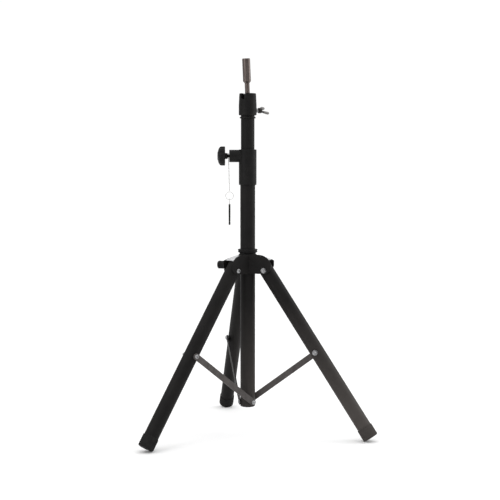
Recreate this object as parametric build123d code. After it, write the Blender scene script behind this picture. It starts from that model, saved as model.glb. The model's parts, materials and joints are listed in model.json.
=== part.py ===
from build123d import *
from math import atan2, cos, degrees, hypot, radians, sin
import os

# Telescopic tripod stand with a clamped column, a tilting ball stud on top and a sliding hub.
# Millimetres. +Z is up, the floor is Z = 0 and the column stands on the Z axis.
# The clamp boss points along -X. Legs stand at three equal angles around the column.

# ---------------------------------------------------------------- driving dimensions
# column
TUBE_R = 17.5              # main tube, 35 mm outside
TUBE_WALL = 1.2
TUBE_BOTTOM = 65.0
TUBE_TOP = 632.0
POST_R = 15.9              # upper tube, 31.8 mm outside
POST_WALL = 1.2
POST_BOTTOM = 160.0
POST_TOP = 741.2
PIN_HOLE_R = 2.6
PIN_HOLE_PITCH = 100.0
PIN_HOLES = 4

# tee collar and clamp
COLLAR_R = 20.7
COLLAR_BOTTOM = 586.3
COLLAR_TOP = 669.0
CLAMP_Z = 653.9
BOSS_R = 14.5
BOSS_END = 43.0
M8_R = 4.0
RUNNING = 0.05             # radial play of a shaft that turns in its hole
KNOB_R = 22.3
KNOB_BACK = 52.9
KNOB_FRONT = 70.5
KNOB_LOBES = 8

# ball head
HEAD_R = 20.8
HEAD_TOP_R = 19.5
HEAD_BOTTOM = 748.5
HEAD_TAPER = 772.0
HEAD_TOP = 799.0
BALL_R = 13.5
SEAT_R = 14.3              # nylon cup under the ball
BALL_Z = 787.5
NOTCH_Z = 791.3            # centre of the notch's round lower end
NOTCH_ANGLE = 236.0        # plan angle that the stud folds towards
NECK_R = 5.7
SPIGOT_R = 9.25
SPIGOT_START = 39.5        # measured from the ball centre
SPIGOT_END = 92.0
STUD_LEAN = 4.1            # lean of the stud towards the notch
WING_Z = 760.0
M6_R = 3.0
WING_DROOP = 27.5          # turn of the ears about the screw
WING_ANGLE = 26.8          # plan angle of the screw

# hub
LEG_ANGLES = (101.0, 221.0, 341.0)
HUB_BOTTOM = 380.0
HUB_TOP = 424.5
SLEEVE_IN = 17.8
SLEEVE_OUT = 20.8
PLATE = 2.5
FORK_IN = 17.5             # half gap of a fork
PIVOT_R = 46.0             # leg pivot, from the column axis
PIVOT_Z = 388.0
HUB_SCREW_Z = 397.3
HUB_SCREW_ANGLE = 161.0
COVER = 2.0                # thickness of a fork's saddle
COVER_START = 12.0
COVER_END = 53.5           # outer end of a saddle, from the column axis
REAR_END = 62.0            # outer end of the lower cheeks, from the column axis

# legs and braces
LEG_R = 16.9
LEG_WALL = 1.2
LEG_SPLAY = 33.7
LEG_ABOVE = 12.0           # tube length above the pivot
FOOT_R = 18.4
FOOT_LENGTH = 28.0
FOOT_SOLE = 4.0
FOOT_FILLET = 3.0
BRACE_ON_LEG = 224.0       # brace pivot, down the leg from the leg pivot
BRACE_Z = 74.0             # lower brace pivot on the column
BRACE_W = 14.3
BRACE_T = 2.5
BRACE_IN = 18.2            # inner face of a brace, beside the leg's middle plane

# pin on its chain
CHAIN_X = -44.7
CHAIN_R = 1.2
CHAIN_TOP = 645.2
RING_R = 9.0
RING_WIRE = 1.1
RING_Z = 561.0
RING_X = -42.6
PIN_R = 2.2
PIN_TOP = 541.5
PIN_BOTTOM = 492.5

# ---------------------------------------------------------------- worked-out dimensions
SPLAY = radians(LEG_SPLAY)
SOLE_DROP = (FOOT_R - FOOT_FILLET) * sin(SPLAY) + FOOT_FILLET * (1 - cos(SPLAY))
LEG_LENGTH = (PIVOT_Z - SOLE_DROP) / cos(SPLAY)
BRACE_TOP_X = PIVOT_R + BRACE_ON_LEG * sin(SPLAY)
BRACE_TOP_Z = PIVOT_Z - BRACE_ON_LEG * cos(SPLAY)
BRACE_LENGTH = hypot(BRACE_TOP_X, BRACE_TOP_Z - BRACE_Z)
BRACE_LEAN = degrees(atan2(BRACE_TOP_X, BRACE_TOP_Z - BRACE_Z))
BRACE_OUT = BRACE_IN + BRACE_T

os.makedirs("parts", exist_ok=True)


# ---------------------------------------------------------------- helpers
def rod(radius, start, end):
    """Round bar along Z between two heights."""
    return Pos(0, 0, (start + end) / 2) * Cylinder(radius, abs(end - start))


def pipe(outer, inner, start, end):
    """Round tube along Z between two heights."""
    return rod(outer, start, end) - rod(inner, start - 1, end + 1)


def rod_x(radius, start, end, z):
    """Round bar along X at height z."""
    return Pos((start + end) / 2, 0, z) * Rot(0, 90, 0) * Cylinder(radius, abs(end - start))


def rod_y(radius, start, end, x, z):
    """Round bar along Y at place x, z."""
    return Pos(x, (start + end) / 2, z) * Rot(90, 0, 0) * Cylinder(radius, abs(end - start))


def turned(*points):
    """Solid of revolution about Z from an outline of (radius, height) points."""
    outline = make_face(Polyline(*[(r, 0, z) for r, z in points], close=True))
    return revolve(outline, Axis.Z, 360)


def dome(radius, height, start, x, z, side):
    """Button head along Y, flat side at 'start', bulging towards side +1 or -1."""
    ball_r = (radius * radius + height * height) / (2 * height)
    centre = start + side * (height - ball_r)
    ball = Pos(x, centre, z) * Sphere(ball_r)
    return ball & rod_y(radius, start, start + side * (height + 1), x, z)


def hexagon_y(across, start, end, x, z):
    """Hexagonal bar along Y."""
    face = RegularPolygon(across / 2, 6, major_radius=False)
    bar = extrude(face, abs(end - start))
    return Pos(x, max(start, end), z) * Rot(90, 0, 0) * bar


def at_leg(index, shape):
    """Turn a shape built for a leg that points along +X to its own leg."""
    return Rot(0, 0, LEG_ANGLES[index]) * shape


def splayed(shape):
    """Hang a shape, built down from the origin, on the leg pivot at the splay angle."""
    return Pos(PIVOT_R, 0, PIVOT_Z) * Rot(0, -LEG_SPLAY, 0) * shape


def save(name, shape, color):
    shape.label = name
    shape.color = Color(*color)
    export_step(shape, f"parts/{name}.step")


def group(shapes):
    return Compound(children=[s for s in shapes])


# ---------------------------------------------------------------- column
def main_tube():
    tube = pipe(TUBE_R, TUBE_R - TUBE_WALL, TUBE_BOTTOM, TUBE_TOP)
    for index in range(3):
        hole = rod_y(2.6, 12, 20, 0, BRACE_Z)
        tube -= at_leg(index, hole)
    for z in (600.0, 618.0):
        tube -= rod_y(2.05, 12, 20, 0, z)
    return tube


def tube_end_plug():
    inner = TUBE_R - TUBE_WALL - 0.05
    return turned((0, 62.5), (15.0, 62.5), (TUBE_R, 64.0), (TUBE_R, TUBE_BOTTOM),
                  (inner, TUBE_BOTTOM), (inner, 69.0), (0, 69.0))


def tee_collar():
    body = turned((0, COLLAR_BOTTOM), (COLLAR_R - 1, COLLAR_BOTTOM), (COLLAR_R, COLLAR_BOTTOM + 1),
                  (COLLAR_R, COLLAR_TOP - 0.8), (COLLAR_R - 0.8, COLLAR_TOP), (0, COLLAR_TOP))
    boss = rod_x(BOSS_R, -BOSS_END, 0, CLAMP_Z)
    boss = chamfer(boss.edges().filter_by(GeomType.CIRCLE).sort_by(Axis.X)[0], 0.8)
    body += boss
    body -= rod(TUBE_R + 0.03, COLLAR_BOTTOM - 1, TUBE_TOP)
    body -= rod(POST_R + 0.9, TUBE_TOP - 1, TUBE_TOP + 4)
    body -= rod(18.2, TUBE_TOP + 3, COLLAR_TOP + 1)
    body -= rod_x(7.03, -BOSS_END - 1, -22, CLAMP_Z)
    body -= rod_x(4.6, -23, -15, CLAMP_Z)
    for z in (600.0, 618.0):
        body -= rod_y(2.05, 12, 22, 0, z)
    return body


def collar_liner():
    liner = pipe(18.15, POST_R + 0.3, TUBE_TOP + 3.05, COLLAR_TOP)
    return liner - rod_x(4.6, -23, -15, CLAMP_Z)


def boss_insert():
    sleeve = rod_x(7.0, -42.6, -24.6, CLAMP_Z)
    return sleeve - rod_x(M8_R + RUNNING, -44, -20, CLAMP_Z)


def collar_rivets():
    rivets = []
    for z in (600.0, 618.0):
        shank = rod_y(2.0, 16.6, COLLAR_R + 0.3, 0, z)
        rivets.append(shank + dome(3.6, 1.8, COLLAR_R + 0.1, 0, z, 1))
    return group(rivets)


def brace_rivets():
    rivets = []
    for index in range(3):
        tail = rod_y(4.4, 13.8, 15.5, 0, BRACE_Z)
        shank = rod_y(2.5, 15.4, BRACE_OUT + 0.2, 0, BRACE_Z)
        shoulder = rod_y(5.0, TUBE_R + 0.02, BRACE_IN - 0.1, 0, BRACE_Z)
        head = dome(5.3, 3.0, BRACE_OUT + 0.1, 0, BRACE_Z, 1)
        rivets.append(at_leg(index, tail + shank + shoulder + head))
    return group(rivets)


# ---------------------------------------------------------------- upper tube
def upper_tube():
    tube = pipe(POST_R, POST_R - POST_WALL, POST_BOTTOM, POST_TOP)
    for step in range(PIN_HOLES):
        z = POST_BOTTOM + PIN_HOLE_PITCH * (step + 1)
        tube -= rod_y(PIN_HOLE_R, -20, 20, 0, z)
    return tube


def guide_bush():
    inner = POST_R - POST_WALL - 0.05
    return turned((11.5, POST_BOTTOM - 8), (15.5, POST_BOTTOM - 8), (16.0, POST_BOTTOM - 7),
                  (16.0, POST_BOTTOM), (inner, POST_BOTTOM), (inner, POST_BOTTOM + 20),
                  (11.5, POST_BOTTOM + 20))


def top_cap():
    inner = POST_R - POST_WALL - 0.05
    return turned((0, POST_TOP - 20), (inner, POST_TOP - 20), (inner, POST_TOP), (17.9, POST_TOP),
                  (18.6, POST_TOP + 0.7), (18.6, POST_TOP + 2.9), (17.9, POST_TOP + 3.6),
                  (16.2, POST_TOP + 3.6), (16.2, HEAD_BOTTOM), (14.5, HEAD_BOTTOM), (14.5, 756.5), (0, 756.5))


# ---------------------------------------------------------------- ball head
def wing_place(shape):
    """Turn a shape built along +X about the origin to the wing screw's axis."""
    return Pos(0, 0, WING_Z) * Rot(0, 0, WING_ANGLE) * shape


def head_body():
    body = turned((0, HEAD_BOTTOM), (HEAD_R - 1.2, HEAD_BOTTOM), (HEAD_R, HEAD_BOTTOM + 1.2),
                  (HEAD_R, HEAD_TAPER), (HEAD_TOP_R, HEAD_TOP - 1), (HEAD_TOP_R - 1, HEAD_TOP), (0, HEAD_TOP))
    body -= rod(SEAT_R + 0.3, HEAD_BOTTOM - 1, BALL_Z)
    body -= Pos(0, 0, BALL_Z) * Sphere(BALL_R + 0.3)
    body -= turned((0, BALL_Z), (8.6, BALL_Z), (9.4, HEAD_TOP - 2), (11.2, HEAD_TOP + 1), (0, HEAD_TOP + 1))
    width = 2 * (NECK_R + 0.6)
    slot = Pos(15, 0, NOTCH_Z + 15) * Box(30, width, 30)
    slot += rod_x(width / 2, 0, 30, NOTCH_Z)
    body -= Rot(0, 0, NOTCH_ANGLE) * slot
    body -= wing_place(rod_x(5.53, 10, 25, 0))
    return body


def ball_seat():
    cup = turned((0, 757.2), (8.0, 757.2), (SEAT_R, 767.5), (SEAT_R, 781.0), (0, 781.0))
    return cup - Pos(0, 0, BALL_Z) * Sphere(BALL_R + 0.3)


def head_insert():
    sleeve = rod_x(5.5, 15.2, 21.4, 0) + rod_x(6.2, 21.2, 22.8, 0)
    sleeve -= rod_x(M6_R + RUNNING, 10, 30, 0)
    return wing_place(sleeve)


def wing_shank():
    return wing_place(rod_x(M6_R, 12.4, 32.0, 0) + rod_x(M6_R - 0.7, 11.6, 12.5, 0))


def wing_screw():
    hub = rod_x(6.4, 27.6, 35.2, 0)
    hub = chamfer(hub.edges().filter_by(GeomType.CIRCLE), 0.8)
    lobe = make_face(Polyline((28.6, 0), (28.6, 5.6), (33.5, 8.6), (40.2, 15.4), (47.6, 9.2), (38.0, 4.0), (34.6, 0),
                              close=True))
    coin = turned((0, -1.8), (4.5, -1.8), (5.2, -1.1), (5.2, 1.1), (4.5, 1.8), (0, 1.8))
    wing = extrude(lobe, 1.5, both=True) + Pos(44.7, 12.8, 0) * coin
    # the flat wing lies in the X-Y plane; its mirror image makes the second ear
    ears = wing + mirror(wing, Plane.XZ)
    screw = hub + ears - rod_x(M6_R + 0.02, 20, 32.05, 0)
    return wing_place(Rot(WING_DROOP, 0, 0) * screw)


def lean(shape):
    """Move a shape built up from the ball centre to its place, leaning towards the notch."""
    turn = Rot(0, 0, NOTCH_ANGLE) * Rot(0, STUD_LEAN, 0)
    return Pos(0, 0, BALL_Z) * turn * shape


def ball_stud():
    neck = rod(NECK_R, 0, SPIGOT_START - 4.6)
    pin = rod(5.0, 30, SPIGOT_END - 3.8)
    stud = Sphere(BALL_R) + neck + pin - rod(2.1, SPIGOT_END - 20, SPIGOT_END)
    return lean(stud)


def spigot_sleeve():
    sleeve = turned((5.0 + RUNNING, SPIGOT_START - 4.4), (NECK_R + 0.1, SPIGOT_START - 4.4),
                    (SPIGOT_R, SPIGOT_START), (SPIGOT_R, SPIGOT_END - 1.2), (SPIGOT_R - 1.2, SPIGOT_END),
                    (7.2, SPIGOT_END), (7.2, SPIGOT_END - 3.9), (5.0 + RUNNING, SPIGOT_END - 3.9))
    return lean(sleeve)


def spigot_screw():
    head = rod(6.8, SPIGOT_END - 3.75, SPIGOT_END - 0.6)
    face = RegularPolygon(2.0, 6, major_radius=False)
    socket = Pos(0, 0, SPIGOT_END - 2.6) * extrude(face, 4)
    head = head - socket + rod(2.08, SPIGOT_END - 16, SPIGOT_END - 3.7)
    return lean(head)


# ---------------------------------------------------------------- column clamp
def clamp_pad():
    return rod_x(4.2, -20.9, -(POST_R + 0.35), CLAMP_Z)


def clamp_screw():
    return rod_x(M8_R, -64, -21.0, CLAMP_Z)


def clamp_knob():
    # built along +Z as a turned star knob, then laid along -X
    disc = turned((0, KNOB_BACK), (KNOB_R - 1.0, KNOB_BACK), (KNOB_R, KNOB_BACK + 1.0), (KNOB_R, 62.0),
                  (KNOB_R - 1.2, 64.8), (KNOB_R - 4.6, 67.3), (13.0, 69.2), (6.0, KNOB_FRONT), (0, KNOB_FRONT))
    for lobe in range(KNOB_LOBES):
        angle = 360 * (lobe + 0.5) / KNOB_LOBES
        disc -= Rot(0, 0, angle) * Pos(KNOB_R + 3.2, 0, 60) * Cylinder(5.2, 40)
    neck = turned((0, 46.4), (5.6, 46.4), (7.0, 48.6), (7.0, KNOB_BACK + 0.5), (0, KNOB_BACK + 0.5))
    knob = disc + neck - rod(M8_R + 0.02, 40, 64.05)
    return Pos(0, 0, CLAMP_Z) * Rot(0, -90, 0) * knob


# ---------------------------------------------------------------- pin on its chain
def chain_eyelet():
    washer = rod_x(7.6, -45.3, -44.1, CLAMP_Z - 1.3)
    tab = Pos(CHAIN_X, 0, CHAIN_TOP + 1.6) * Box(1.2, 3.6, 3.4)
    return washer + tab - rod_x(5.5, -50, -40, CLAMP_Z - 1.3)


def pin_chain():
    path = Line((CHAIN_X, 0, CHAIN_TOP - 0.4), (RING_X, 0, RING_Z + RING_R + RING_WIRE + 0.5))
    return sweep(Plane(path @ 0, z_dir=path % 0) * Circle(CHAIN_R), path)


def split_ring():
    return Pos(RING_X, 0, RING_Z) * Rot(90, 0, 0) * Torus(RING_R, RING_WIRE)


def locking_pin():
    shaft = turned((0, PIN_BOTTOM), (PIN_R - 1.0, PIN_BOTTOM), (PIN_R, PIN_BOTTOM + 2.2),
                   (PIN_R, PIN_BOTTOM + 6.5), (PIN_R - 0.4, PIN_BOTTOM + 6.9), (PIN_R - 0.4, PIN_BOTTOM + 8.1),
                   (PIN_R, PIN_BOTTOM + 8.5), (PIN_R, PIN_TOP - 0.5), (PIN_R - 0.5, PIN_TOP), (0, PIN_TOP))
    return Pos(RING_X, 0, 0) * shaft


def pin_eye():
    """Wire eye whose two legs run down into the pin and whose loop holds the split ring."""
    loop = Pos(0, 0, 550.5) * Rot(0, 90, 0) * Torus(3.4, 0.7)
    stem = rod(0.9, PIN_TOP, 547.3)
    return Pos(RING_X, 0, 0) * (loop + stem)


# ---------------------------------------------------------------- hub
def bell():
    """Envelope that gives each hub plate its arched shoulder and rounded lower corner."""
    top = ThreePointArc((36.0, 0, HUB_TOP), (58.8, 0, 415.1), (66.0, 0, 404.0))
    low = ThreePointArc((66.0, 0, 397.0), (61.0, 0, 385.0), (49.0, 0, HUB_BOTTOM))
    outline = Wire([Line((0, 0, HUB_TOP), (36.0, 0, HUB_TOP)), top, Line((66.0, 0, 404.0), (66.0, 0, 397.0)),
                    low, Line((49.0, 0, HUB_BOTTOM), (0, 0, HUB_BOTTOM)),
                    Line((0, 0, HUB_BOTTOM), (0, 0, HUB_TOP))])
    return revolve(make_face(outline), Axis.Z, 360)


def low_bell():
    """Lower envelope with a nearly straight shoulder, for the two rear plates and the saddles."""
    drop = 6.5
    outline = Polyline((0, 0, HUB_TOP - 2), (20.0, 0, HUB_TOP - 2), (36.0, 0, HUB_TOP - drop),
                       (50.0, 0, HUB_TOP - drop - 3.5), (59.0, 0, HUB_TOP - drop - 7), (REAR_END, 0, 409.0),
                       (REAR_END, 0, 397.0), (58.0, 0, 387.0), (49.0, 0, HUB_BOTTOM), (0, 0, HUB_BOTTOM), close=True)
    return revolve(make_face(outline), Axis.Z, 360)


def hub_plate(index):
    """Bent plate between leg 'index' and the next leg; its wings are the cheeks of two forks."""
    height = HUB_TOP - HUB_BOTTOM
    middle = (HUB_TOP + HUB_BOTTOM) / 2
    reach = 66.0
    start = 12.0
    length = reach - start
    side = FORK_IN + PLATE / 2
    first = Pos((start + reach) / 2, side, middle) * Box(length, PLATE, height)
    second = Pos((start + reach) / 2, -side, middle) * Box(length, PLATE, height)
    saddle_in = SLEEVE_OUT + 0.05
    saddle = pipe(saddle_in + PLATE, saddle_in, HUB_BOTTOM, HUB_TOP)
    wedge = make_face(Polyline((0, 0), (60 * cos(radians(44)), 60 * sin(radians(44))),
                               (60 * cos(radians(76)), 60 * sin(radians(76))), close=True))
    saddle &= Pos(0, 0, HUB_BOTTOM) * extrude(wedge, height)
    plate = first + saddle + Rot(0, 0, 120) * second
    plate -= rod(saddle_in, HUB_BOTTOM - 1, HUB_TOP + 1)
    plate = plate & (bell() if index == 1 else low_bell())
    bolt_hole = rod_y(M6_R + 0.05, -30, 30, PIVOT_R, PIVOT_Z)
    plate -= bolt_hole
    plate -= Rot(0, 0, 120) * bolt_hole
    return at_leg(index, plate)


def hub_screw_place(shape):
    """Move a shape built along +Z to the hub's clamp screw axis."""
    return Pos(0, 0, HUB_SCREW_Z) * Rot(0, 0, HUB_SCREW_ANGLE) * Rot(0, 90, 0) * shape


def hub_sleeve():
    sleeve = pipe(SLEEVE_OUT, SLEEVE_IN, HUB_BOTTOM, HUB_TOP)
    return sleeve - hub_screw_place(rod(4.4, 10, 30))


def hub_collar():
    return turned((SLEEVE_IN, HUB_TOP), (18.9, HUB_TOP), (18.9, HUB_TOP + 2.2), (20.6, HUB_TOP + 3.6),
                  (23.0, HUB_TOP + 5), (23.0, HUB_TOP + 6.3),
                  (21.6, HUB_TOP + 7.6), (23.0, HUB_TOP + 8.9), (23.0, HUB_TOP + 11.0), (22.4, HUB_TOP + 11.6),
                  (18.6, HUB_TOP + 12.2), (SLEEVE_IN, HUB_TOP + 11.4))


def fork_cover(index):
    """Saddle over a fork, flush with the shoulders of the rear plates."""
    inner = COVER_START
    mid = (inner + COVER_END) / 2
    block = Pos(mid, 0, 405) * Box(COVER_END - inner, 2 * FORK_IN - 0.1, 60)
    skin = low_bell() - Pos(0, 0, -COVER) * low_bell()
    cover = (skin & block) - rod(SLEEVE_OUT + PLATE + 0.1, 370, 440)
    cover = cover & (Pos(mid, 0, 440) * Box(80, 80, 60))
    return at_leg(index, cover)


def hub_nut(plate):
    nut = rod(8.0, 21.0, 32.0) - rod(M8_R + RUNNING, 15, 40)
    nut = hub_screw_place(nut) - plate - rod(SLEEVE_OUT + 0.05, 380, 420)
    return nut.solids().sort_by(SortBy.VOLUME)[-1]


def hub_knob_screw():
    return hub_screw_place(rod(M8_R, TUBE_R + 0.15, 66.0))


def hub_knob():
    grip = turned((0, 35.0), (6.6, 35.0), (9.3, 38.5), (9.3, 72.4), (7.8, 74.0), (0, 74.0))
    for flute in range(14):
        angle = 360 * flute / 14
        grip -= Rot(0, 0, angle) * Pos(9.9, 0, 57) * Cylinder(1.15, 33)
    grip -= rod(M8_R + 0.02, 30, 66.05)
    return hub_screw_place(grip)


def leg_pivot_bolt(index):
    outer = FORK_IN + PLATE
    shank = rod_y(M6_R, -outer - 8.0, outer + 0.5, PIVOT_R, PIVOT_Z)
    head = dome(5.4, 3.4, outer, PIVOT_R, PIVOT_Z, 1)
    return at_leg(index, shank + head)


def leg_pivot_nut(index):
    outer = FORK_IN + PLATE
    nut = hexagon_y(10.0, -outer - 6.0, -outer - 1.0, PIVOT_R, PIVOT_Z)
    nut += rod_y(6.2, -outer - 1.0, -outer, PIVOT_R, PIVOT_Z)
    nut -= rod_y(M6_R + 0.02, -40, 0, PIVOT_R, PIVOT_Z)
    return at_leg(index, nut)


# ---------------------------------------------------------------- legs
def leg_tube(index):
    tube = pipe(LEG_R, LEG_R - LEG_WALL, -(LEG_LENGTH - FOOT_SOLE), LEG_ABOVE)
    tube -= rod_y(M6_R + 0.6, -20, 20, 0, 0)
    tube -= rod_y(M6_R + 0.06, -20, 20, 0, -BRACE_ON_LEG)
    return at_leg(index, splayed(tube))


def leg_plug(index):
    inner = LEG_R - LEG_WALL - 0.05
    plug = turned((0, -14), (inner - 0.8, -14), (inner, -12), (inner, LEG_ABOVE), (LEG_R, LEG_ABOVE),
                  (LEG_R, LEG_ABOVE + 0.6), (LEG_R - 1.6, LEG_ABOVE + 2.0), (0, LEG_ABOVE + 2.0))
    plug -= rod_y(M6_R + RUNNING, -20, 20, 0, 0)
    return at_leg(index, splayed(plug))


def foot_cap(index):
    start = -(LEG_LENGTH - FOOT_LENGTH)
    end = -LEG_LENGTH
    boot = rod(FOOT_R, end, start)
    boot = fillet(boot.edges().filter_by(GeomType.CIRCLE).sort_by(Axis.Z)[0], FOOT_FILLET)
    boot = chamfer(boot.edges().filter_by(GeomType.CIRCLE).sort_by(Axis.Z)[-1], 0.8)
    boot -= rod(LEG_R + 0.05, end + FOOT_SOLE, start + 1)
    return at_leg(index, splayed(boot))


def brace_bolt(index):
    """Through bolt in a leg; its end meets the brace with a small gap, the open pivot."""
    z = -BRACE_ON_LEG
    shank = rod_y(M6_R, -LEG_R - 11.0, BRACE_IN - 0.3, 0, z)
    shoulder = rod_y(5.4, LEG_R + 0.02, BRACE_IN - 0.3, 0, z)
    return at_leg(index, splayed(shank + shoulder))


def brace_nut(index):
    z = -BRACE_ON_LEG
    side = LEG_R + 0.05
    nut = rod_y(6.2, -side - 1.4, -side, 0, z)
    nut += hexagon_y(10.0, -side - 6.4, -side - 1.3, 0, z)
    nut += dome(4.4, 4.0, -side - 6.3, 0, z, -1)
    nut -= rod_y(M6_R + 0.02, -LEG_R - 11.05, 0, 0, z)
    return at_leg(index, splayed(nut))


# ---------------------------------------------------------------- braces
def brace_place(shape):
    """Move a shape built up from the lower pivot to the brace's lean."""
    return Pos(0, 0, BRACE_Z) * Rot(0, BRACE_LEAN, 0) * shape


def brace_bar(index):
    middle = BRACE_IN + BRACE_T / 2
    bar = Pos(0, middle, BRACE_LENGTH / 2) * Box(BRACE_W, BRACE_T, BRACE_LENGTH)
    bar += rod_y(BRACE_W / 2, BRACE_IN, BRACE_OUT, 0, 0)
    bar += rod_y(BRACE_W / 2, BRACE_IN, BRACE_OUT, 0, BRACE_LENGTH)
    bar -= rod_y(2.5 + RUNNING, 10, 30, 0, 0)
    bar -= rod_y(M6_R + 0.06, 10, 30, 0, BRACE_LENGTH)
    return at_leg(index, brace_place(bar))


def brace_head(index):
    head = rod_y(M6_R, BRACE_IN + 0.02, BRACE_OUT + 0.3, 0, BRACE_LENGTH)
    head += dome(5.3, 3.4, BRACE_OUT, 0, BRACE_LENGTH, 1)
    return at_leg(index, brace_place(head))


# ---------------------------------------------------------------- write the sub-parts
BLACK = (0.08, 0.08, 0.08)
RUBBER = (0.12, 0.12, 0.12)
STEEL = (0.75, 0.76, 0.78)
BRASS = (0.72, 0.58, 0.30)
NYLON = (0.30, 0.30, 0.32)

save("main_tube", main_tube(), BLACK)
save("tube_end_plug", tube_end_plug(), RUBBER)
save("tee_collar", tee_collar(), BLACK)
save("collar_liner", collar_liner(), NYLON)
save("boss_insert", boss_insert(), BRASS)
save("collar_rivets", collar_rivets(), STEEL)
save("brace_rivets", brace_rivets(), STEEL)

save("upper_tube", upper_tube(), BLACK)
save("guide_bush", guide_bush(), NYLON)
save("top_cap", top_cap(), BLACK)
save("head_body", head_body(), BLACK)
save("ball_seat", ball_seat(), NYLON)
save("head_insert", head_insert(), BRASS)
save("wing_shank", wing_shank(), STEEL)
save("wing_screw", wing_screw(), STEEL)
save("ball_stud", ball_stud(), STEEL)
save("spigot_sleeve", spigot_sleeve(), STEEL)
save("spigot_screw", spigot_screw(), STEEL)

save("clamp_pad", clamp_pad(), BRASS)
save("clamp_screw", clamp_screw(), STEEL)
save("clamp_knob", clamp_knob(), BLACK)
save("chain_eyelet", chain_eyelet(), STEEL)
save("pin_chain", pin_chain(), STEEL)
save("split_ring", split_ring(), STEEL)
save("locking_pin", locking_pin(), STEEL)
save("pin_eye", pin_eye(), STEEL)

PLATE_NAMES = ("hub_plate_left", "hub_plate_front", "hub_plate_right")
plates = [hub_plate(index) for index in range(3)]
plates[0] -= hub_screw_place(rod(4.4, 10, 30))
for name, plate in zip(PLATE_NAMES, plates):
    save(name, plate, BLACK)
save("hub_nut", hub_nut(plates[0]), STEEL)
save("hub_sleeve", hub_sleeve(), BLACK)
save("hub_collar", hub_collar(), BLACK)
save("fork_covers", group([fork_cover(index) for index in range(3)]), BLACK)
save("leg_pivot_bolts", group([leg_pivot_bolt(index) for index in range(3)]), STEEL)
save("leg_pivot_nuts", group([leg_pivot_nut(index) for index in range(3)]), STEEL)
save("hub_knob_screw", hub_knob_screw(), STEEL)
save("hub_knob", hub_knob(), BLACK)

LEG_NAMES = ("rear", "left", "right")
for index, leg in enumerate(LEG_NAMES):
    save(f"leg_tube_{leg}", leg_tube(index), BLACK)
    save(f"leg_plug_{leg}", leg_plug(index), NYLON)
    save(f"foot_cap_{leg}", foot_cap(index), RUBBER)
    save(f"brace_bolt_{leg}", brace_bolt(index), STEEL)
    save(f"brace_nut_{leg}", brace_nut(index), STEEL)
    save(f"brace_bar_{leg}", brace_bar(index), BLACK)
    save(f"brace_head_{leg}", brace_head(index), STEEL)
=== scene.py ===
import json
from math import cos, pi, radians, sin

import bpy
from mathutils import Matrix, Vector


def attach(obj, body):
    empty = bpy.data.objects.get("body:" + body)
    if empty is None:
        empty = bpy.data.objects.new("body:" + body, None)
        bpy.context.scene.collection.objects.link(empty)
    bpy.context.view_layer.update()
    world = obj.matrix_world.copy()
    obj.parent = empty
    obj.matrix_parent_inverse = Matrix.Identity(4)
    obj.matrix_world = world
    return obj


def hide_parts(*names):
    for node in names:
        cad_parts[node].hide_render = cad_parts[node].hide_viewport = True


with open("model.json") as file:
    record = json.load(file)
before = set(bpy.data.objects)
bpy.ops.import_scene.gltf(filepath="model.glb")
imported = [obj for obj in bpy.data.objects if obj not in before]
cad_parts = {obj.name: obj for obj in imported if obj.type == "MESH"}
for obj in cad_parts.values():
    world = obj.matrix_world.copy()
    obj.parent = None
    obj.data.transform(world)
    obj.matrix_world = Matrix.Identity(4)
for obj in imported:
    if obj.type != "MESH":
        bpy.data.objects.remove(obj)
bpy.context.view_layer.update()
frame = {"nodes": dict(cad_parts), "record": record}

# Looks of the folding tripod stand. Metres, +Z up, floor at Z = 0, the column on the Z axis.

# ---------------------------------------------------------------- places and sizes
MM = 0.001

# Collar, head and stud.
CLAMP_Z = 653.9 * MM
COLLAR_RIVETS_Z = (600.0 * MM, 618.0 * MM)
COLLAR_RIVETS_OUT = 20.8 * MM
WING_Z = 760.0 * MM
WING_ANGLE = radians(26.8)
WING_EARS_OUT = 31.0 * MM
BALL_CENTRE = (0.0, 0.0, 0.7875)
BALL_R = 13.5 * MM

# Hub, legs and braces.
HUB_SCREW_Z = 397.3 * MM
HUB_SCREW_ANGLE = radians(161.0)
LEG_ANGLES = {"rear": radians(101.0), "left": radians(221.0), "right": radians(341.0)}
LEG_SPLAY = radians(33.7)
PIVOT_R = 46.0 * MM
PIVOT_Z = 388.0 * MM
FORK_OUT = 20.0 * MM
BRACE_ON_LEG = 224.0 * MM
BRACE_Z = 74.0 * MM
BRACE_OUT = 20.7 * MM

# Threads: crest radius, depth and pitch. Spans run along each screw from its aim point.
M8_THREAD = (4.0 * MM, 0.62 * MM, 1.25 * MM)
M6_THREAD = (3.0 * MM, 0.45 * MM, 1.0 * MM)
WING_THREAD = (3.0 * MM, 0.5 * MM, 1.0 * MM)
CLAMP_SCREW_SPAN = (21.0 * MM, 64.0 * MM)
WING_SHANK_SPAN = (11.6 * MM, 32.0 * MM)
HUB_SCREW_SPAN = (17.65 * MM, 66.0 * MM)
PIVOT_TAIL_SPAN = (0.4 * MM, 8.0 * MM)

# Bolts, nuts and rivets.
BOLT_R = 3.0 * MM
PIVOT_HEAD_R = 5.4 * MM
BRACE_HEAD_R = 5.3 * MM
BUTTON_HEIGHT = 3.4 * MM
SOCKET_ACROSS = 4.0 * MM
SOCKET_DEPTH = 1.8 * MM
NUT_ACROSS = 10.0 * MM
NUT_SPAN = (1.0 * MM, 6.0 * MM)
PIVOT_SHANK = 40.8 * MM
BRACE_SHANK = 2.45 * MM
BRACE_RIVET = (5.3 * MM, 3.0 * MM)
COLLAR_RIVET = (3.6 * MM, 1.8 * MM)
INTO_HEAD = 0.1 * MM

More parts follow.
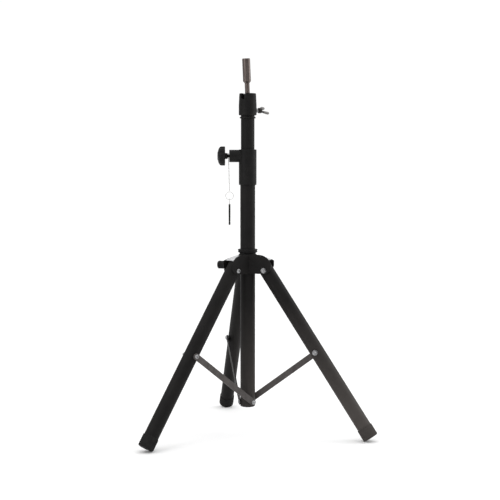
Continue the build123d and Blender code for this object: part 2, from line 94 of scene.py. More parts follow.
# Turned outlines: radius and height in millimetres.
KNOB_CAP = ((9.2, 69.7), (9.2, 70.4), (8.8, 70.5), (8.2, 70.5),
            (7.9, 70.15), (6.2, 70.25), (5.8, 70.5), (0.3, 70.5))
PIVOT_WASHER = ((6.0, 0.0), (6.2, 0.2), (6.2, 0.8), (6.0, 1.0))
BRACE_WASHER = ((4.8, -3.28), (5.0, -3.1), (5.0, -2.75), (4.8, -2.62))
BRACE_RIVET_SHANK = ((2.5, -5.4), (2.5, 0.1))
BRACE_RIVET_TAIL = ((4.4, -7.0), (4.4, -5.3))
COLLAR_RIVET_SHANK = ((2.0, -4.2), (2.0, 0.1))

# Bead chain and split ring.
CHAIN_ROUTE = [(-0.0447, 0.0, 0.6448), (-0.0426, 0.0, 0.5716)]
CHAIN_D = 0.0024
BEAD_PITCH = 0.0031
LINK_R = 0.32 * MM
LINK_MIDDLE_R = 0.40 * MM
RING_CENTRE = (-0.0426, 0.0, 0.5610)
RING_R = 9.0 * MM
RING_WIRE_R = 0.62 * MM
RING_TURN = 4 * pi * 0.97
RING_START = 0.9
RING_WIDTH = 1.1 * MM
RING_STEPS = 150

# Floor, light and camera.
FLOOR_HALF = 40.0
FLOOR_CELLS = 8
WORLD_AROUND = 0.40
WORLD_BEHIND = 1.03
WORLD_ABOVE = 1.38
BEHIND_WAY = (0.42, 0.907, 0.0)
BEHIND_FADE = (0.52, 0.76)
ABOVE_FADE = (0.38, 0.56)
LIGHTS_AIM = Vector((0, 0, 0.45))
SOFTBOX_SIZE = (1.5, 2.0)
SOFTBOXES = (
    ("softbox_left", (-2.2, -1.8, 1.5), 18.0),
    ("softbox_right", (2.6, 0.2, 1.3), 24.0),
)
CAMERA_PLACE = (0.0054, -2.700, 0.631)
CAMERA_DOWN_DEG = 4.18
CAMERA_LENS = 82.94
CAMERA_SENSOR = 36.0

# Dark and light tone of each finish, linear RGB.
TONES = {
    "powder_black": ((0.0072, 0.0068, 0.0068), (0.0118, 0.0110, 0.0106)),
    # Left and right braces: a lighter copy of the black coat, painted light.
    "lit_brace_black": ((0.052, 0.046, 0.044), (0.082, 0.074, 0.071)),
    "cast_black": ((0.0072, 0.0070, 0.0070), (0.0115, 0.0108, 0.0105)),
    "black_plastic": ((0.0070, 0.0070, 0.0072), (0.0135, 0.0130, 0.0130)),
    "black_rubber": ((0.0075, 0.0075, 0.0078), (0.0150, 0.0145, 0.0140)),
    "nylon": ((0.0120, 0.0120, 0.0125), (0.022, 0.0215, 0.0215)),
    "nickel": ((0.088, 0.070, 0.064), (0.150, 0.124, 0.115)),
    "stud_ball": ((0.010, 0.010, 0.010), (0.026, 0.025, 0.024)),
    "wing_core": ((0.022, 0.021, 0.020), (0.050, 0.047, 0.045)),
    # Painted highlight at the ends of the wing screw's ears.
    "wing_tip_highlight": ((0.09, 0.086, 0.083), (0.22, 0.21, 0.205)),
    "zinc_steel": ((0.20, 0.20, 0.205), (0.40, 0.40, 0.405)),
    "saddle_zinc": ((0.40, 0.40, 0.41), (0.64, 0.64, 0.65)),
    "brass": ((0.42, 0.29, 0.12), (0.62, 0.46, 0.22)),
    "chain_nickel": ((0.46, 0.45, 0.44), (0.74, 0.73, 0.72)),
    "dark_steel": ((0.016, 0.016, 0.016), (0.040, 0.039, 0.038)),
    "floor_paper": ((0.90, 0.90, 0.90), (0.915, 0.915, 0.915)),
}
# Pale tone low down and on the +X side: dust and painted light from the floor and a low light
# on the right.
DUST_AND_PAINTED_LIGHT = (0.064, 0.057, 0.053)
THIN_DUST = (0.030, 0.028, 0.026)
SCUFF = (0.060, 0.055, 0.050)
POWDER_WORN = (0.050, 0.047, 0.045)
CAST_WORN = (0.060, 0.057, 0.055)
# Worn edges and specks on the lighter brace copy, lightened with it as painted light.
LIT_BRACE_WORN = (0.125, 0.117, 0.112)
LIT_BRACE_SPECKS = (0.125, 0.115, 0.110)


# ---------------------------------------------------------------- material nodes
class Look:
    """A node material with helpers that add the usual patterns in object space."""

    def __init__(self, name, **values):
        self.material = bpy.data.materials.new(name)
        self.material.use_nodes = True
        self.tree = self.material.node_tree
        self.shader = self.tree.nodes["Principled BSDF"]
        self.place = self.node("ShaderNodeTexCoord").outputs["Object"]
        for socket, value in values.items():
            self.shader.inputs[socket.replace("_", " ")].default_value = value

    def node(self, kind, **settings):
        made = self.tree.nodes.new(kind)
        for name, value in settings.items():
            setattr(made, name, value)
        return made

    def link(self, source, target):
        self.tree.links.new(source, target)

    def stretched(self, scale):
        mapping = self.node("ShaderNodeMapping")
        mapping.inputs["Scale"].default_value = scale
        self.link(self.place, mapping.inputs["Vector"])
        return mapping.outputs["Vector"]

    def noise(self, scale, detail=3.0, rough=0.5, stretch=None):
        noise = self.node("ShaderNodeTexNoise")
        noise.inputs["Scale"].default_value = scale
        noise.inputs["Detail"].default_value = detail
        noise.inputs["Roughness"].default_value = rough
        place = self.stretched(stretch) if stretch else self.place
        self.link(place, noise.inputs["Vector"])
        return noise.outputs["Fac"]

    def cells(self, scale):
        cells = self.node("ShaderNodeTexVoronoi")
        cells.inputs["Scale"].default_value = scale
        self.link(self.place, cells.inputs["Vector"])
        return cells.outputs["Distance"]

    def split(self):
        split = self.node("ShaderNodeSeparateXYZ")
        self.link(self.place, split.inputs["Vector"])
        return split.outputs

    def ramp(self, source, first, last):
        """Colour ramp between two stops, each (place, grey or colour)."""
        ramp = self.node("ShaderNodeValToRGB")
        for element, (place, colour) in zip(ramp.color_ramp.elements, (first, last)):
            element.position = place
            rgb = colour if isinstance(colour, tuple) else (colour, colour, colour)
            element.color = (*rgb, 1.0)
        self.link(source, ramp.inputs["Fac"])
        return ramp.outputs["Color"]

    def tone(self, finish, source, low, high):
        """Dark to light tone of a finish while the source goes from 'low' to 'high'."""
        dark, light = TONES[finish]
        return self.ramp(source, (low, dark), (high, light))

    def fade(self, source, start, end, first=0.0, last=1.0):
        """Goes from 'first' to 'last' while the source goes from 'start' to 'end'."""
        reach = self.node("ShaderNodeMapRange")
        for socket, value in (("From Min", start), ("From Max", end),
                              ("To Min", first), ("To Max", last)):
            reach.inputs[socket].default_value = value
        self.link(source, reach.inputs["Value"])
        return reach.outputs["Result"]

    def mix(self, share, first, second):
        mix = self.node("ShaderNodeMix", data_type="RGBA")
        for name, value in (("Factor", share), ("A", first), ("B", second)):
            if isinstance(value, bpy.types.NodeSocket):
                self.link(value, mix.inputs[name])
            else:
                mix.inputs[name].default_value = (*value, 1.0)
        return mix.outputs["Result"]

    def times(self, first, second):
        product = self.node("ShaderNodeMath", operation="MULTIPLY")
        self.link(first, product.inputs[0])
        self.link(second, product.inputs[1])
        return product.outputs["Value"]

    def near(self, centre, inside, outside):
        """White within 'inside' of a point, fading to black at 'outside'."""
        gap = self.node("ShaderNodeVectorMath", operation="DISTANCE")
        self.link(self.place, gap.inputs[0])
        gap.inputs[1].default_value = centre
        return self.fade(gap.outputs["Value"], inside, outside, 1.0, 0.0)

    def low_dust_and_painted_light(self, most):
        """Share of a pale tone, partly dust and partly painted light from the floor and from a
        low light on the +X side: more towards the floor and on the +X side, broken up by noise.
        """
        place = self.split()
        height = self.ramp(place["Z"], (0.06, 1.0), (0.32, 0.0))
        # Painted light: the +X side, where a low light falls, gets the pale tone; the -X side
        # gets none.
        across = self.fade(place["X"], -0.045, 0.030)
        patches = self.ramp(self.noise(45, 5, 0.7), (0.25, most * 0.75), (0.75, most))
        return self.times(self.times(height, across), patches)

    def rounded(self, radius):
        """Normal that runs smoothly over edges."""
        bevel = self.node("ShaderNodeBevel", samples=6)
        bevel.inputs["Radius"].default_value = radius
        return bevel.outputs["Normal"]

    def edges(self, radius, low):
        """White along convex and concave edges, black on open faces."""
        dot = self.node("ShaderNodeVectorMath", operation="DOT_PRODUCT")
        self.link(self.rounded(radius), dot.inputs[0])
        self.link(self.node("ShaderNodeNewGeometry").outputs["Normal"], dot.inputs[1])
        return self.ramp(dot.outputs["Value"], (low, 1.0), (0.97, 0.0))

    def scratches(self):
        """Fine scratches that run up and down."""
        lines = self.noise(1, 2, 0.5, (1500, 1500, 42))
        return self.ramp(lines, (0.66, 0.0), (0.70, 1.0))

    def colour(self, source):
        self.link(source, self.shader.inputs["Base Color"])

    def roughness(self, source, low, high):
        self.link(self.ramp(source, (0.3, low), (0.7, high)), self.shader.inputs["Roughness"])

    def surface(self, *layers, soften=None):
        """Bump layers, each (height, distance, strength), over edges softened by a radius."""
        normal = self.rounded(soften) if soften else None
        for height, distance, strength in layers:
            bump = self.node("ShaderNodeBump")
            bump.inputs["Distance"].default_value = distance
            bump.inputs["Strength"].default_value = strength
            self.link(height, bump.inputs["Height"])
            if normal is not None:
                self.link(normal, bump.inputs["Normal"])
            normal = bump.outputs["Normal"]
        self.link(normal, self.shader.inputs["Normal"])


def powder_black():
    """Powder coat of the tubes, paler low down and on the +X side from dust and painted light,
    worn at the edges and lightly scratched.
    """
    look = Look("powder_black", Metallic=0.0, Specular_IOR_Level=0.08)
    speck = look.noise(900, 2)
    base = look.tone("powder_black", look.noise(28, 4, 0.6), 0.30, 0.72)
    film = look.ramp(look.noise(160, 5, 0.7), (0.60, 0.0), (0.74, 0.22))
    base = look.mix(film, base, THIN_DUST)
    # Dust and painted light: paler towards the floor and on the +X side.
    base = look.mix(look.low_dust_and_painted_light(1.0), base, DUST_AND_PAINTED_LIGHT)
    wear = look.times(look.edges(0.0007, 0.80), look.ramp(speck, (0.45, 0.0), (0.62, 0.55)))
    look.colour(look.mix(wear, base, POWDER_WORN))
    look.roughness(look.noise(60, 5, 0.65), 0.44, 0.56)
    peel = look.noise(620, 2, 0.4)
    look.surface((peel, 0.00006, 0.35), (speck, 0.00002, 0.25),
                 (look.scratches(), 0.00001, 0.25), soften=0.0005)
    return look.material


def lit_brace_black():
    """Thin black coat on the left and right braces, lightened to a warm dark grey as painted
    light, where these braces catch more light than the rear one; with worn edges and specks.
    """
    look = Look("lit_brace_black", Metallic=0.0, Specular_IOR_Level=0.22)
    base = look.tone("lit_brace_black", look.noise(1, 4, 0.6, (90, 90, 35)), 0.28, 0.72)
    specks = look.ramp(look.noise(480, 4, 0.6), (0.60, 0.0), (0.72, 0.45))
    base = look.mix(specks, base, LIT_BRACE_SPECKS)
    look.colour(look.mix(look.edges(0.0006, 0.80), base, LIT_BRACE_WORN))
    look.roughness(look.noise(70, 5, 0.65), 0.40, 0.54)
    peel = look.noise(620, 2, 0.4)
    look.surface((peel, 0.00005, 0.3), (look.scratches(), 0.00001, 0.25), soften=0.0004)
    return look.material


def cast_black():
    """Painted castings, slightly pitted."""
    look = Look("cast_black", Metallic=0.0, Specular_IOR_Level=0.09)
    base = look.tone("cast_black", look.noise(70, 4, 0.6), 0.32, 0.70)
    chips = look.ramp(look.noise(500, 4), (0.46, 0.0), (0.6, 0.5))
    look.colour(look.mix(look.times(look.edges(0.0008, 0.78), chips), base, CAST_WORN))
    look.roughness(look.noise(90, 4, 0.6), 0.42, 0.54)
    pits = look.ramp(look.cells(1500), (0.0, 0.0), (0.25, 1.0))
    skin = look.noise(380, 3, 0.5)
    look.surface((skin, 0.00008, 0.35), (pits, 0.00002, 0.3), soften=0.0006)
    return look.material


def black_plastic():
    look = Look("black_plastic", Metallic=0.0, Specular_IOR_Level=0.10)
    look.colour(look.tone("black_plastic", look.noise(110, 4, 0.6), 0.3, 0.7))
    look.roughness(look.noise(140, 5, 0.6), 0.38, 0.52)
    grain = look.cells(2600)
    look.surface((grain, 0.00005, 0.4), (look.noise(300, 3), 0.00005, 0.25), soften=0.0007)
    return look.material


def black_rubber():
    """Rubber feet, paler on the +X side from dust and painted light, and scuffed where they
    meet the floor.
    """
    look = Look("black_rubber", Metallic=0.0, Specular_IOR_Level=0.10)
    base = look.tone("black_rubber", look.noise(120, 5, 0.65), 0.3, 0.7)
    # Dust and painted light: the feet on the +X side are paler, where a low light falls.
    base = look.mix(look.low_dust_and_painted_light(0.75), base, DUST_AND_PAINTED_LIGHT)
    scuff = look.ramp(look.noise(45, 6, 0.75), (0.56, 0.0), (0.70, 0.5))
    at_floor = look.ramp(look.split()["Z"], (0.002, 1.0), (0.016, 0.0))
    look.colour(look.mix(look.times(scuff, at_floor), base, SCUFF))
    look.roughness(look.noise(200, 4), 0.66, 0.86)
    skin = look.noise(900, 4, 0.6)
    look.surface((skin, 0.00008, 0.45), (look.cells(420), 0.00004, 0.2), soften=0.0006)
    return look.material


def nylon():
    look = Look("nylon", Metallic=0.0, Specular_IOR_Level=0.22)
    look.colour(look.tone("nylon", look.noise(90, 4), 0.3, 0.7))
    look.roughness(look.noise(160, 4), 0.42, 0.58)
    look.surface((look.noise(1400, 3), 0.00004, 0.3), soften=0.0004)
    return look.material


def plated(finish, smooth, rough, streak=(900, 900, 900)):
    """Plated or turned metal: tone clouds, fine marks stretched one way and softened edges."""
    look = Look(finish, Metallic=1.0)
    marks = look.noise(1, 2, 0.5, streak)
    shade = look.ramp(marks, (0.25, 0.82), (0.75, 1.0))
    tone = look.tone(finish, look.noise(260, 5, 0.65), 0.32, 0.68)
    look.colour(look.mix(shade, TONES[finish][0], tone))
    look.roughness(look.noise(420, 4, 0.6), smooth, rough)
    look.surface((marks, 0.00003, 0.3), (look.noise(1800, 2), 0.00001, 0.2), soften=0.0003)
    return look.material


def drawn_tone(look):
    """Nickel with soft tone streaks along the part."""
    return look.tone("nickel", look.noise(1, 3, 0.5, (520, 520, 9)), 0.32, 0.68)


def stud_nickel():
    """Satin nickel stud whose ball, inside the head, is coloured near black."""
    look = Look("stud_nickel", Metallic=1.0)
    ball = look.near(BALL_CENTRE, BALL_R + 0.1 * MM, BALL_R + 0.6 * MM)
    black = look.tone("stud_ball", look.noise(420, 4, 0.6), 0.3, 0.7)
    look.colour(look.mix(ball, drawn_tone(look), black))
    look.roughness(look.noise(300, 4, 0.6), 0.30, 0.42)
    look.surface((look.noise(1, 2, 0.5, (120, 120, 5200)), 0.00003, 0.3), soften=0.0003)
    return look.material


def satin_nickel():
    """Drawn nickel sleeve: soft tone streaks along it and fine turning marks across it."""
    look = Look("satin_nickel", Metallic=1.0)
    look.colour(drawn_tone(look))
    look.roughness(look.noise(1, 3, 0.5, (300, 300, 30)), 0.30, 0.42)
    look.surface((look.noise(1, 2, 0.5, (60, 60, 2600)), 0.00001, 0.12), soften=0.0004)
    return look.material


def wing_metal():
    """Cast wing screw: dark in the middle, with a painted highlight that brightens the ends of
    the ears.
    """
    look = Look("wing_metal", Metallic=1.0)
    middle = (WING_EARS_OUT * cos(WING_ANGLE), WING_EARS_OUT * sin(WING_ANGLE), WING_Z)
    core = look.near(middle, 10.0 * MM, 16.0 * MM)
    dark = look.tone("wing_core", look.noise(300, 4, 0.6), 0.3, 0.7)
    light = look.tone("wing_tip_highlight", look.noise(420, 5, 0.65), 0.3, 0.7)
    # Painted highlight: the ends of the ears are brighter than the middle.
    look.colour(look.mix(core, light, dark))
    look.roughness(look.noise(420, 4, 0.6), 0.28, 0.44)
    skin = look.noise(900, 3, 0.5)
    look.surface((skin, 0.00004, 0.35), (look.cells(1600), 0.00002, 0.2), soften=0.0004)
    return look.material


def floor_paper():
    look = Look("floor_paper", Metallic=0.0, Roughness=0.9, Specular_IOR_Level=0.1)
    look.colour(look.tone("floor_paper", look.noise(3.0, 3), 0.3, 0.7))
    look.surface((look.noise(260, 3), 0.0002, 0.05))
    return look.material


# The finish of each material slot, and of the nodes that look different from their slot.
SLOT_LOOKS = {
    "powder_black": powder_black(),
    "cast_black": cast_black(),
    "black_plastic": black_plastic(),
    "black_rubber": black_rubber(),
    "nylon": nylon(),
    "zinc_steel": plated("zinc_steel", 0.24, 0.38),
    "satin_nickel": satin_nickel(),
    "wing_metal": wing_metal(),
    "brass": plated("brass", 0.26, 0.40, (2600, 200, 200)),
    "chain_nickel": plated("chain_nickel", 0.16, 0.28),
    "dark_steel": plated("dark_steel", 0.34, 0.50, (300, 300, 2600)),
}
LIT_BRACE_LOOK = lit_brace_black()
NODE_LOOKS = {
    "ball_stud": stud_nickel(),
    # The left and right braces take a lighter copy of the black coat as painted light; the rear
    # brace keeps its powder black slot as the shaded copy.
    "brace_bar_left": LIT_BRACE_LOOK,
    "brace_bar_right": LIT_BRACE_LOOK,
    "fork_covers": plated("saddle_zinc", 0.22, 0.36),
}


# ---------------------------------------------------------------- mesh helpers
def aim(origin, direction):
    """Matrix that puts a shape built along +Z at 'origin' with its Z axis along 'direction'."""
    turn = Vector(direction).to_track_quat("Z", "Y").to_matrix().to_4x4()
    return Matrix.Translation(origin) @ turn


def tube_faces(rings, sides):
    """Faces of a tube made of rings of 'sides' points, with both ends closed."""
    faces = []
    for ring in range(rings - 1):
        for side in range(sides):
            a = ring * sides + side
            b = ring * sides + (side + 1) % sides
            faces.append((a, b, b + sides, a + sides))
    faces.append(tuple(reversed(range(sides))))
    last = (rings - 1) * sides
    faces.append(tuple(range(last, last + sides)))
    return faces


def turned(rows, sides=48):
    """Round solid from rows of (radius, height); a radius may be a function of the angle."""
    verts = []
    for radius, height in rows:
        for side in range(sides):
            angle = 2 * pi * side / sides
            r = radius(angle) if callable(radius) else radius
            verts.append((r * cos(angle), r * sin(angle), height))
    return verts, tube_faces(len(rows), sides)


def turned_mm(rows):
    """Round solid from an outline in millimetres."""
    return turned([(radius * MM, height * MM) for radius, height in rows])


def threaded(thread, start, end):
    """Round bar along Z with a screw thread that fades out over half a pitch at both ends."""
    crest, depth, pitch = thread
    count = max(2, round((end - start) / (pitch / 6)))
    rows = []
    for row in range(count + 1):
        height = start + (end - start) * row / count
        fade = min(1.0, min(height - start, end - height) / (pitch * 0.5))

        def radius(angle, height=height, fade=fade):
            phase = (height / pitch - angle / (2 * pi)) % 1.0
            wave = abs(2 * phase - 1)
            ridge = min(1.0, max(0.0, (wave - 0.15) / 0.6))
            return crest - depth + depth * ridge * fade

        rows.append((radius, height))
    return turned(rows, 36)


def hexagon(across, limit=1.0):
    """Radius of a hexagon with flats 'across' apart, cut off by a circle of radius 'limit'."""
    def radius(angle):
        nearest = (angle % (pi / 3)) - pi / 6
        return min(across / 2 / cos(nearest), limit)
    return radius


def nut(across, start, end):
    """Hexagon nut whose corners are turned back at both ends."""
    flat = across / 2
    bevel = flat / cos(pi / 6) - flat
    rise = bevel * 0.58
    rows = [(flat * 0.94, start)]
    for share in (0.0, 0.5, 1.0):
        rows.append((hexagon(across, flat + bevel * share), start + rise * share))
    for share in (1.0, 0.5, 0.0):
        rows.append((hexagon(across, flat + bevel * share), end - rise * share))
    rows.append((flat * 0.94, end))
    return turned(rows)


def button_head(radius):
    """Button head with a hexagon socket, its flat face at height 0."""
    height = BUTTON_HEIGHT
    rows = [(radius * 0.97, 0.0), (radius, height * 0.06), (radius, height * 0.14)]
    rim = SOCKET_ACROSS / 2 / cos(pi / 6) * 1.12
    for step in range(1, 9):
        turn = step / 8 * pi / 2
        rows.append((rim + (radius - rim) * cos(turn), height * (0.14 + 0.86 * sin(turn))))
    rows.append((hexagon(SOCKET_ACROSS * 1.06), height))
    rows.append((hexagon(SOCKET_ACROSS), height - SOCKET_DEPTH * 0.12))
    rows.append((hexagon(SOCKET_ACROSS), height - SOCKET_DEPTH))
    rows.append((SOCKET_ACROSS * 0.12, height - SOCKET_DEPTH * 1.15))
    return turned(rows)


def rivet_head(radius, height):
    """Domed rivet head with a small dimple, its flat face at height 0."""
    rows = [(radius * 0.98, 0.0), (radius, height * 0.05)]
    for step in range(1, 10):
        turn = step / 10 * pi / 2
        rows.append((radius * cos(turn), height * (0.05 + 0.95 * sin(turn))))
    rows.append((radius * 0.13, height * 0.98))
    rows.append((radius * 0.06, height * 0.90))
    return turned(rows)


def shank(length):
    """Plain bolt shank that hangs below a head and reaches a little into it."""
    return turned([(BOLT_R, -length), (BOLT_R, INTO_HEAD)])


def swept(points, radius, sides=12):
    """Round tube that follows points."""
    verts = []
    side = None
    for index, point in enumerate(points):
        before = points[max(index - 1, 0)]
        after = points[min(index + 1, len(points) - 1)]
        ahead = (after - before).normalized()
        if side is None:
            side = ahead.orthogonal().normalized()
        side = (side - ahead * side.dot(ahead)).normalized()
        across = ahead.cross(side)
        for turn in range(sides):
            angle = 2 * pi * turn / sides
            out = side * (radius * cos(angle)) + across * (radius * sin(angle))
            verts.append(point + out)
    return verts, tube_faces(len(points), sides)


def placed(shape, matrix):
    """The shape's vertices and faces moved by a matrix."""
    verts, faces = shape
    return [matrix @ Vector(v) for v in verts], faces


def piece(name, shapes, body, slot):
    """One object from several shapes, riding on a body, with the slot's finish."""
    verts, faces = [], []
    for shape_verts, shape_faces in shapes:
        start = len(verts)
        verts.extend(shape_verts)
        faces.extend(tuple(i + start for i in face) for face in shape_faces)
    mesh = bpy.data.meshes.new(name)
    mesh.from_pydata(verts, [], faces)
    mesh.update()
    made = bpy.data.objects.new(name, mesh)
    bpy.context.scene.collection.objects.link(made)
    mesh.materials.append(SLOT_LOOKS[slot])
    mesh.shade_smooth()
    mesh.set_sharp_from_angle(angle=radians(35))
    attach(made, body)
    return made


# ---------------------------------------------------------------- finishes of the CAD nodes
for subpart in frame["record"]["subparts"]:
    node = subpart["node"]
    mesh = frame["nodes"][node].data
    finish = NODE_LOOKS.get(node, SLOT_LOOKS[subpart["material_slot"]])
    if not mesh.materials:
        mesh.materials.append(finish)
    for index in range(len(mesh.materials)):
        mesh.materials[index] = finish


# ---------------------------------------------------------------- screws, nuts and rivets
def leg_ways(angle):
    """Directions of a leg at an angle around the column: outwards, and along its pivot."""
    return Vector((cos(angle), sin(angle), 0)), Vector((-sin(angle), cos(angle), 0))


def clamp_parts():
    along = aim((0, 0, CLAMP_Z), (-1, 0, 0))
    screw = placed(threaded(M8_THREAD, *CLAMP_SCREW_SPAN), along)
    made = piece("clamp_screw_thread", [screw], "knob", "dark_steel")
    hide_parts("clamp_screw")
    cap = placed(turned_mm(KNOB_CAP), along)
    piece("knob_cap", [cap], "knob", "black_plastic")


def wing_parts():
    along = aim((0, 0, WING_Z), (cos(WING_ANGLE), sin(WING_ANGLE), 0))
    screw = placed(threaded(WING_THREAD, *WING_SHANK_SPAN), along)
    made = piece("wing_shank_thread", [screw], "wing", "zinc_steel")
    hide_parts("wing_shank")


def hub_lock_parts():
    along = aim((0, 0, HUB_SCREW_Z), (cos(HUB_SCREW_ANGLE), sin(HUB_SCREW_ANGLE), 0))
    screw = placed(threaded(M8_THREAD, *HUB_SCREW_SPAN), along)
    made = piece("hub_lock_thread", [screw], "hub_lock", "zinc_steel")
    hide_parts("hub_knob_screw")


def leg_pivot_parts():
    bolts, nuts = [], []
    for angle in LEG_ANGLES.values():
        out, side = leg_ways(angle)
        centre = out * PIVOT_R + Vector((0, 0, PIVOT_Z))
        head = aim(centre + side * FORK_OUT, side)
        tail = aim(centre - side * FORK_OUT, -side)
        bolts.append(placed(button_head(PIVOT_HEAD_R), head))
        bolts.append(placed(shank(PIVOT_SHANK), head))
        bolts.append(placed(threaded(M6_THREAD, *PIVOT_TAIL_SPAN), tail))
        nuts.append(placed(nut(NUT_ACROSS, *NUT_SPAN), tail))
        nuts.append(placed(turned_mm(PIVOT_WASHER), tail))
    made = piece("leg_pivot_screws", bolts, "hub", "zinc_steel")
    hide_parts("leg_pivot_bolts")
    made = piece("leg_pivot_hex_nuts", nuts, "hub", "zinc_steel")
    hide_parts("leg_pivot_nuts")


def brace_parts(leg):
    out, side = leg_ways(LEG_ANGLES[leg])
    reach = PIVOT_R + BRACE_ON_LEG * sin(LEG_SPLAY)
    height = PIVOT_Z - BRACE_ON_LEG * cos(LEG_SPLAY)
    along = aim(out * reach + Vector((0, 0, height)) + side * BRACE_OUT, side)
    shapes = [placed(button_head(BRACE_HEAD_R), along), placed(shank(BRACE_SHANK), along)]
    made = piece(f"brace_screw_{leg}", shapes, f"brace_{leg}", "zinc_steel")
    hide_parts(f"brace_head_{leg}")


def brace_rivet_parts():
    shapes = []
    for angle in LEG_ANGLES.values():
        side = leg_ways(angle)[1]
        along = aim(Vector((0, 0, BRACE_Z)) + side * (BRACE_OUT + INTO_HEAD), side)
        shapes.append(placed(rivet_head(*BRACE_RIVET), along))
        for rows in (BRACE_RIVET_SHANK, BRACE_WASHER, BRACE_RIVET_TAIL):
            shapes.append(placed(turned_mm(rows), along))
    made = piece("brace_rivet_heads", shapes, "column", "zinc_steel")
    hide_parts("brace_rivets")


def collar_rivet_parts():
    shapes = []
    for height in COLLAR_RIVETS_Z:
        along = aim((0, COLLAR_RIVETS_OUT, height), (0, 1, 0))
        shapes.append(placed(rivet_head(*COLLAR_RIVET), along))
        shapes.append(placed(turned_mm(COLLAR_RIVET_SHANK), along))
    made = piece("collar_rivet_heads", shapes, "column", "zinc_steel")
    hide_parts("collar_rivets")


clamp_parts()
wing_parts()
hub_lock_parts()
leg_pivot_parts()
for leg in LEG_ANGLES:
    brace_parts(leg)
brace_rivet_parts()
collar_rivet_parts()


# ---------------------------------------------------------------- bead chain and ring
def route_points(points, steps=24):
    """Points along a smooth spline through the route, read from an unbevelled curve."""
    curve = bpy.data.curves.new("chain_route", "CURVE")
    curve.dimensions = "3D"
    curve.resolution_u = steps
    spline = curve.splines.new("NURBS")
    spline.points.add(len(points) - 1)
    for target, point in zip(spline.points, points):
        target.co = (*point, 1.0)
    spline.order_u = 3
    spline.use_endpoint_u = True
    holder = bpy.data.objects.new("chain_route", curve)
    mesh = bpy.data.meshes.new_from_object(holder)
    found = [tuple(v.co) for v in mesh.vertices]
    bpy.data.objects.remove(holder)
    bpy.data.meshes.remove(mesh)
    bpy.data.curves.remove(curve)
    return found


def point_at(points, distance):
    """Point and direction at a distance along a line of points."""
    for start, end in zip(points, points[1:]):
        start, end = Vector(start), Vector(end)
        run = (end - start).length
        if distance <= run or end == Vector(points[-1]):
            ahead = (end - start).normalized()
            return start + ahead * min(distance, run), ahead
        distance -= run


def bead_chain():
    """Beads with short links between them. Gives the piece, its path and its length."""
    path = route_points(CHAIN_ROUTE)
    length = sum((Vector(b) - Vector(a)).length for a, b in zip(path, path[1:]))
    radius = CHAIN_D / 2
    beads = int((length - CHAIN_D) / BEAD_PITCH) + 1
    pitch = (length - CHAIN_D) / (beads - 1)
    rows = []
    for step in range(11):
        turn = pi * (0.06 + 0.88 * step / 10)
        rows.append((radius * sin(turn), -radius * cos(turn)))
    inset = radius * 0.9
    link = [(LINK_R, inset), (LINK_MIDDLE_R, pitch / 2), (LINK_R, pitch - inset)]
    shapes = []
    for bead in range(beads):
        along = aim(*point_at(path, radius + bead * pitch))
        shapes.append(placed(turned(rows, 20), along))
        if bead < beads - 1:
            shapes.append(placed(turned(link, 8), along))
    made = piece("bead_chain", shapes, "pin_hanger", "chain_nickel")
    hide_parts("pin_chain")
    return made, path, length


def split_ring():
    """Ring of nearly two turns of wire that lie side by side."""
    points = []
    for step in range(RING_STEPS + 1):
        share = step / RING_STEPS
        turn = share * RING_TURN + RING_START
        place = Vector((RING_R * cos(turn), (share - 0.5) * RING_WIDTH, RING_R * sin(turn)))
        points.append(Vector(RING_CENTRE) + place)
    made = piece("key_ring", [swept(points, RING_WIRE_R)], "pin_hanger", "chain_nickel")
    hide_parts("split_ring")
    return made


chain, chain_path, chain_length = bead_chain()
ring = split_ring()


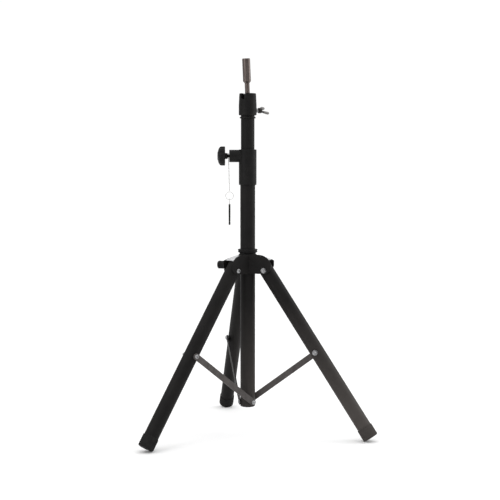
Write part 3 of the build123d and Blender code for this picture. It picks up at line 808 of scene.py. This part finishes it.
# ---------------------------------------------------------------- floor, light and camera
def studio_world():
    """White behind the stand and overhead, greyer all around."""
    world = bpy.data.worlds.new("studio_world")
    world.use_nodes = True
    tree = world.node_tree
    way = tree.nodes.new("ShaderNodeTexCoord").outputs["Generated"]

    def brighter(source, fade, most):
        reach = tree.nodes.new("ShaderNodeMapRange")
        reach.interpolation_type = "SMOOTHSTEP"
        for socket, value in (("From Min", fade[0]), ("From Max", fade[1]),
                              ("To Min", WORLD_AROUND), ("To Max", most)):
            reach.inputs[socket].default_value = value
        tree.links.new(source, reach.inputs["Value"])
        return reach.outputs["Result"]

    dot = tree.nodes.new("ShaderNodeVectorMath")
    dot.operation = "DOT_PRODUCT"
    tree.links.new(way, dot.inputs[0])
    dot.inputs[1].default_value = BEHIND_WAY
    split = tree.nodes.new("ShaderNodeSeparateXYZ")
    tree.links.new(way, split.inputs["Vector"])
    most = tree.nodes.new("ShaderNodeMath")
    most.operation = "MAXIMUM"
    behind = brighter(dot.outputs["Value"], BEHIND_FADE, WORLD_BEHIND)
    above = brighter(split.outputs["Z"], ABOVE_FADE, WORLD_ABOVE)
    tree.links.new(behind, most.inputs[0])
    tree.links.new(above, most.inputs[1])
    background = tree.nodes["Background"]
    background.inputs["Color"].default_value = (1.0, 1.0, 1.0, 1.0)
    tree.links.new(most.outputs["Value"], background.inputs["Strength"])
    bpy.context.scene.world = world


def studio_floor():
    line = [FLOOR_HALF * (step / FLOOR_CELLS * 2 - 1) for step in range(FLOOR_CELLS + 1)]
    verts = [(x, y, 0) for y in line for x in line]
    faces = []
    for row in range(FLOOR_CELLS):
        for column in range(FLOOR_CELLS):
            a = row * len(line) + column
            faces.append((a, a + 1, a + len(line) + 1, a + len(line)))
    mesh = bpy.data.meshes.new("studio_floor")
    mesh.from_pydata(verts, [], faces)
    mesh.materials.append(floor_paper())
    floor = bpy.data.objects.new("studio_floor", mesh)
    bpy.context.scene.collection.objects.link(floor)


def softboxes():
    for name, place, power in SOFTBOXES:
        data = bpy.data.lights.new(name, "AREA")
        data.shape = "RECTANGLE"
        data.size, data.size_y = SOFTBOX_SIZE
        data.energy = power
        light = bpy.data.objects.new(name, data)
        bpy.context.scene.collection.objects.link(light)
        light.location = place
        way = LIGHTS_AIM - Vector(place)
        light.rotation_euler = way.to_track_quat("-Z", "Y").to_euler()


def camera():
    data = bpy.data.cameras.new("view")
    data.sensor_width = CAMERA_SENSOR
    data.lens = CAMERA_LENS
    data.clip_start = 0.1
    data.clip_end = 200.0
    made = bpy.data.objects.new("view", data)
    bpy.context.scene.collection.objects.link(made)
    made.location = CAMERA_PLACE
    made.rotation_euler = (radians(90 - CAMERA_DOWN_DEG), 0, 0)
    bpy.context.scene.camera = made


studio_floor()
studio_world()
bpy.context.scene.view_settings.view_transform = "Standard"
softboxes()
camera()
